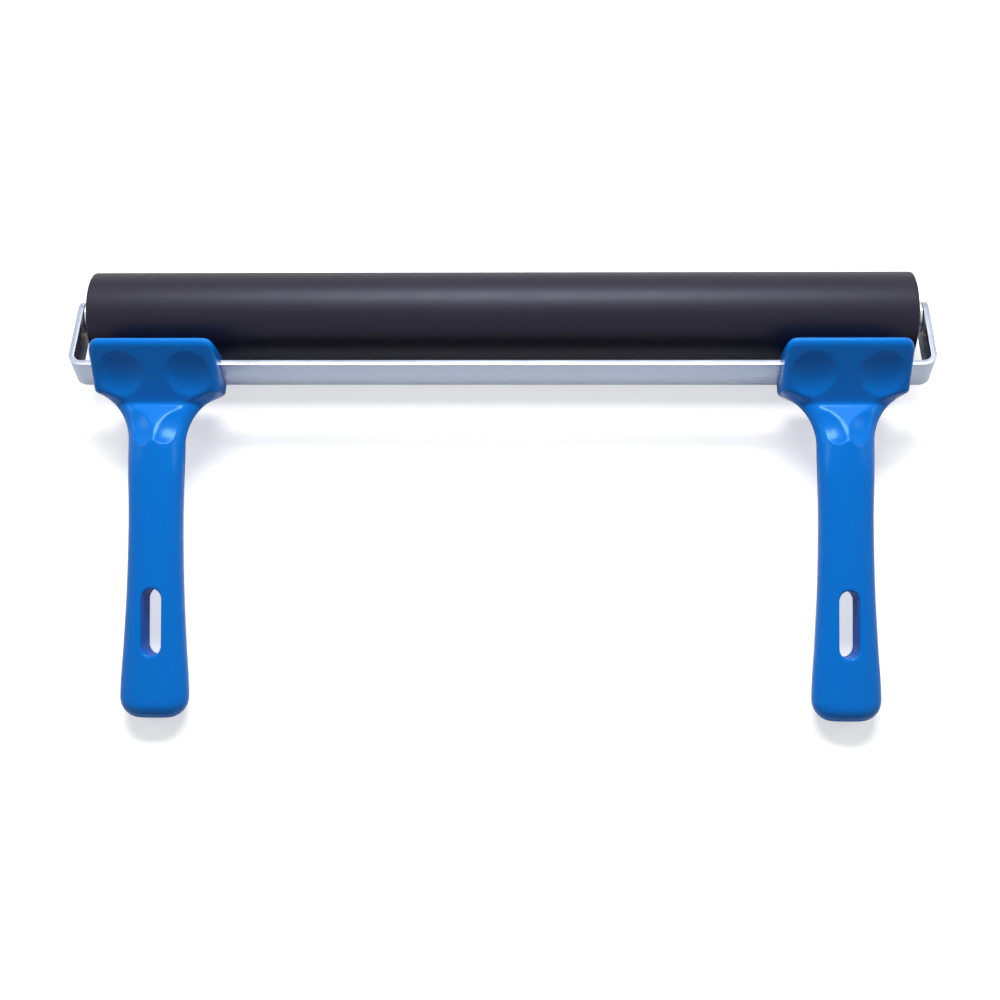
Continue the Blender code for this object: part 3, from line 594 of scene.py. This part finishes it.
def flat_half_width(y):
    """Half the width of the front's flat part: the pointed facet, then the head's face."""
    face = half_width(y) - HEAD_CORNER_RADIUS
    if y <= FACET_APEX_Y:
        return CROWN_HALF_WIDTH
    if y <= NOTCH_Y:
        share = (y - FACET_APEX_Y) / (NOTCH_Y - FACET_APEX_Y)
        return CROWN_HALF_WIDTH + (FACET_TOP_HALF_WIDTH - CROWN_HALF_WIDTH) * (0.75 * share + 0.25 * share**3)
    share = min(1.0, (y - NOTCH_Y) / (2 * HEAD_CORNER_RADIUS))
    return FACET_TOP_HALF_WIDTH + (face - FACET_TOP_HALF_WIDTH) * share


def section(y):
    """One closed section of the handle as (x, z) points."""
    wide, flat = half_width(y), flat_half_width(y)
    front, back, waist = front_height(y), back_height(y), widest_height(y)
    rise = HEAD_HALF_WIDTH - NECK_HALF_WIDTH
    head_start = NECK_START + math.sqrt(NECK_ARC_RADIUS**2 - (NECK_ARC_RADIUS - rise) ** 2)
    power = 2 / smooth_curve([(NECK_START, 2.3), (NOTCH_Y, 2.2), (head_start, 6.0)], y)
    crown = 2 / smooth_curve([(FACET_APEX_Y - CROWN_FADE, 2.3), (FACET_APEX_Y, 1.55), (NOTCH_Y, 1.5)], y)
    boxy = smooth_curve([(NOTCH_Y, 0.0), (head_start, 1.0)], y)
    points = [(flat * i / 8, front) for i in range(8)]
    fall = min(1.2 * (wide - flat), 0.9 * (front - waist))
    for i in range(20):
        angle = math.pi / 2 * i / 20
        curve_x = flat + (wide - flat) * math.sin(angle) ** crown
        curve_z = waist + (front - waist) * math.cos(angle) ** crown
        turn = math.pi / 2 * min(1.0, i / 11)
        down = max(0.0, (i - 11) / 9)
        corner_x = flat + (wide - flat) * math.sin(turn)
        corner_z = front - fall * (1 - math.cos(turn)) - (front - fall - waist) * down
        points.append((curve_x + (corner_x - curve_x) * boxy, curve_z + (corner_z - curve_z) * boxy))
    for i in range(19):
        angle = math.pi / 2 * i / 18
        x = wide * max(0.0, math.cos(angle)) ** power
        points.append((x, waist + (back - waist) * math.sin(angle) ** power))
    points[-1] = (0.0, back)
    return points + [(-x, z) for x, z in points[-2:0:-1]]


def stations():
    """The distances from the handle's end at which its sections are drawn."""
    places = [END_ROUNDING * (1 - math.cos(math.radians(6 + 5.25 * i))) for i in range(16)]
    legs = [(END_ROUNDING, NECK_START, 70), (NECK_START, FACET_APEX_Y, 3), (FACET_APEX_Y, NOTCH_Y, 18)]
    legs += [(NOTCH_Y, NOTCH_Y + 2 * HEAD_CORNER_RADIUS, 8), (NOTCH_Y + 2 * HEAD_CORNER_RADIUS, HEAD_CORNER.y, 8)]
    legs += [(HEAD_CORNER.y, HEAD_TOP_Y, 10), (HEAD_TOP_Y, RIM_Y - RIM_ROUNDING, 3)]
    for start, end, steps in legs:
        places += [start + (end - start) * i / steps for i in range(steps)]
    rim = [RIM_ROUNDING * (1 - math.sin(math.radians(6 * i))) for i in range(16)]
    return places + [RIM_Y - drop for drop in rim]


def handle_blank(shape):
    """Loft the handle through its sections."""
    rows = [[shape.verts.new((x, y, z)) for x, z in section(y)] for y in stations()]
    count = len(rows[0])
    for first, second in zip(rows, rows[1:]):
        for i in range(count):
            j = (i + 1) % count
            shape.faces.new((first[i], first[j], second[j], second[i]))
    shape.faces.new(rows[0])
    shape.faces.new(rows[-1])


def make_handles():
    """Both moulded handles, with soft moulded edges, dimples, hanging slot and strip channel."""
    blank = new_object("handle_left_shell", mesh_from("handle_blank", handle_blank), Matrix())
    up = Vector((0.0, RIM_Y - NOTCH_Y, RIM_FRONT)).normalized()
    outwards = Vector((0.0, -up.z, up.y))
    radius = (DIMPLE_RADIUS**2 + DIMPLE_DEPTH**2) / (2 * DIMPLE_DEPTH)
    centre = Vector((0.0, DIMPLE_Y, front_height(DIMPLE_Y))) + outwards * (radius - DIMPLE_DEPTH)

    def ball(shape):
        bmesh.ops.create_uvsphere(shape, u_segments=128, v_segments=96, radius=radius)

    cutters = []
    for sign in (-1, 1):
        place = Matrix.Translation(centre + Vector((sign * SCREW_SPACING / 2, 0, 0)))
        cutters.append(new_object("dimple", mesh_from("dimple", ball), place))
    end = SLOT_WIDTH / 2
    outline = arc((0.0, SLOT_START + end), end, 180, 360, 20)
    outline += arc((0.0, SLOT_START + SLOT_LENGTH - end), end, 0, 180, 20)
    cutters.append(new_object("slot", mesh_from("slot", prism(outline, -0.012, 0.012, axis=2)), Matrix()))
    for cutter in cutters:
        add_boolean(blank, cutter)
    finish_mesh(blank, cutters)

    remesh = blank.modifiers.new("moulded", "REMESH")
    remesh.mode = "VOXEL"
    remesh.voxel_size = 0.00042
    soft = blank.modifiers.new("soft edges", "SMOOTH")
    soft.factor = 0.5
    soft.iterations = 10
    cutters = []
    half, floor, top = STRIP_WIDTH / 2 + SEAT_GAP, -STRIP_THICKNESS - SEAT_GAP, PLATE_TOP + 0.008
    channel = prism([(floor, -half), (floor, half), (top, half), (top, -half)], -0.03, 0.03)
    cutters.append(new_object("channel", mesh_from("channel", channel), STRIP_PLACE))
    pilot = mesh_from("pilot", turned([(-0.0095, 0.0022), (0.004, 0.0022)], 48, ring=False))
    for name, place in screw_places():
        if name.startswith("left"):
            cutters.append(new_object(f"pilot_{name}", pilot, Matrix.Translation((HANDLE_X, 0, 0)) @ place))
    for cutter in cutters:
        add_boolean(blank, cutter)
    mesh = finish_mesh(blank, cutters, sharp=48.0)
    blank.matrix_world = HOME @ Matrix.Translation((-HANDLE_X, 0, 0))
    other = new_object("handle_right_shell", mesh, Matrix.Translation((HANDLE_X, 0, 0)))
    stand_in(blank, "frame", "handle_plastic", "handle_left")
    stand_in(other, "frame", "handle_plastic", "handle_right")


# ---- Stage ------------------------------------------------------------------------------------
def seen_directly(tree):
    """1 for rays that show the background itself, in the picture or in a reflection, else 0."""
    path = tree.nodes.new("ShaderNodeLightPath")
    total = path.outputs["Is Camera Ray"]
    for name in ("Is Glossy Ray", "Is Transmission Ray"):
        add = tree.nodes.new("ShaderNodeMath")
        add.operation = "ADD"
        add.use_clamp = True
        tree.links.new(total, add.inputs[0])
        tree.links.new(path.outputs[name], add.inputs[1])
        total = add.outputs["Value"]
    return total


def make_stage():
    """A plain pale floor, a white surround and soft studio lamps."""
    size = 3.0
    mesh = bpy.data.meshes.new("floor")
    mesh.from_pydata([(-size, -size, 0), (size, -size, 0), (size, size, 0), (-size, size, 0)], [], [(0, 1, 2, 3)])
    floor = bpy.data.objects.new("floor", mesh)
    collection.objects.link(floor)
    floor.location.z = -0.0001
    pale = bpy.data.materials.new("floor_paint")
    pale.use_nodes = True
    tree = pale.node_tree
    tree.nodes.clear()
    paint = tree.nodes.new("ShaderNodeBsdfDiffuse")
    paint.inputs["Color"].default_value = (0.80, 0.80, 0.80, 1.0)
    lift = tree.nodes.new("ShaderNodeEmission")
    amount = tree.nodes.new("ShaderNodeMath")
    amount.operation = "MULTIPLY"
    reach = tree.nodes.new("ShaderNodeVectorMath")
    reach.operation = "LENGTH"
    tree.links.new(tree.nodes.new("ShaderNodeTexCoord").outputs["Object"], reach.inputs[0])
    fade = tree.nodes.new("ShaderNodeMapRange")
    fade.inputs["From Min"].default_value, fade.inputs["From Max"].default_value = FLOOR_FADE
    fade.inputs["To Min"].default_value = FLOOR_LIFT
    tree.links.new(reach.outputs["Value"], fade.inputs["Value"])
    tree.links.new(fade.outputs["Result"], amount.inputs[1])
    tree.links.new(tree.nodes.new("ShaderNodeLightPath").outputs["Is Camera Ray"], amount.inputs[0])
    tree.links.new(amount.outputs["Value"], lift.inputs["Strength"])
    both = tree.nodes.new("ShaderNodeAddShader")
    tree.links.new(paint.outputs[0], both.inputs[0])
    tree.links.new(lift.outputs[0], both.inputs[1])
    output = tree.nodes.new("ShaderNodeOutputMaterial")
    tree.links.new(both.outputs[0], output.inputs["Surface"])
    mesh.materials.append(pale)

    world = bpy.data.worlds.new("surround")
    bpy.context.scene.world = world
    world.use_nodes = True
    tree = world.node_tree
    background = tree.nodes["Background"]
    background.inputs["Color"].default_value = (1.0, 1.0, 1.0, 1.0)
    strength = tree.nodes.new("ShaderNodeMath")
    strength.operation = "MULTIPLY_ADD"
    strength.inputs[1].default_value = 1.0 - AMBIENT
    strength.inputs[2].default_value = AMBIENT
    tree.links.new(seen_directly(tree), strength.inputs[0])
    tree.links.new(strength.outputs["Value"], background.inputs["Strength"])

    for name, place, width, depth, power in LAMPS:
        data = bpy.data.lights.new(name, "AREA")
        data.shape = "RECTANGLE"
        data.size = width
        data.size_y = depth
        data.energy = power
        lamp = bpy.data.objects.new(name, data)
        collection.objects.link(lamp)
        lamp.location = place
        lamp.rotation_euler = (LAMP_AIM - Vector(place)).to_track_quat("-Z", "Y").to_euler()


def make_camera():
    """The camera, looking down at the brayer from the handles' side."""
    turn, pitch, roll = (math.radians(a) for a in (CAMERA_TURN, CAMERA_PITCH, CAMERA_ROLL))
    forward = Vector((-math.sin(turn), math.cos(turn) * math.sin(pitch), -math.cos(turn) * math.cos(pitch)))
    right = Vector((math.cos(turn), math.sin(turn) * math.sin(pitch), -math.sin(turn) * math.cos(pitch)))
    up = Vector((0.0, math.cos(pitch), math.sin(pitch)))
    rolled_right = right * math.cos(roll) + up * math.sin(roll)
    rolled_up = up * math.cos(roll) - right * math.sin(roll)
    place = Matrix((rolled_right, rolled_up, -forward)).transposed().to_4x4()
    place.translation = Vector(CAMERA_TARGET) - forward * CAMERA_DISTANCE
    data = bpy.data.cameras.new("camera")
    data.sensor_width = 36.0
    data.lens = CAMERA_LENS
    data.clip_start = 0.01
    camera = bpy.data.objects.new("camera", data)
    collection.objects.link(camera)
    camera.matrix_world = HOME @ place
    bpy.context.scene.camera = camera


CAMERA_TARGET = (0.000351, 0.07785, 0.0)
CAMERA_DISTANCE = 0.5416
CAMERA_LENS = 54.744
CAMERA_TURN = 1.481
CAMERA_PITCH = 1.321
CAMERA_ROLL = 0.117
AMBIENT = 0.15
FLOOR_LIFT = 0.56
FLOOR_FADE = (0.45, 1.1)
LAMP_AIM = Vector((0.0, 0.03, 0.01))
LAMPS = [
    ("key", (0.0, 0.585, 0.75), 0.60, 0.24, 11.4),
    ("left", (-0.85, 0.25, 0.55), 0.30, 0.30, 0.9),
    ("right", (0.85, 0.25, 0.55), 0.30, 0.30, 0.9),
]

make_camera()
make_roller()
make_plugs()
make_axle()
make_strip()
make_screws()
make_plates()
make_handles()
for node, slot in (
    ("core_tube", "core_steel"),
    ("bearing_bush_left", "bush_bronze"),
    ("bearing_bush_right", "bush_bronze"),
    ("nylon_washer_left", "washer_nylon"),
    ("nylon_washer_right", "washer_nylon"),
    ("steel_washer_left", "washer_steel"),
    ("steel_washer_right", "washer_steel"),
):
    dress(nodes[node], slot)
make_stage()

bpy.context.scene.view_settings.view_transform = "Standard"
bpy.context.view_layer.update()
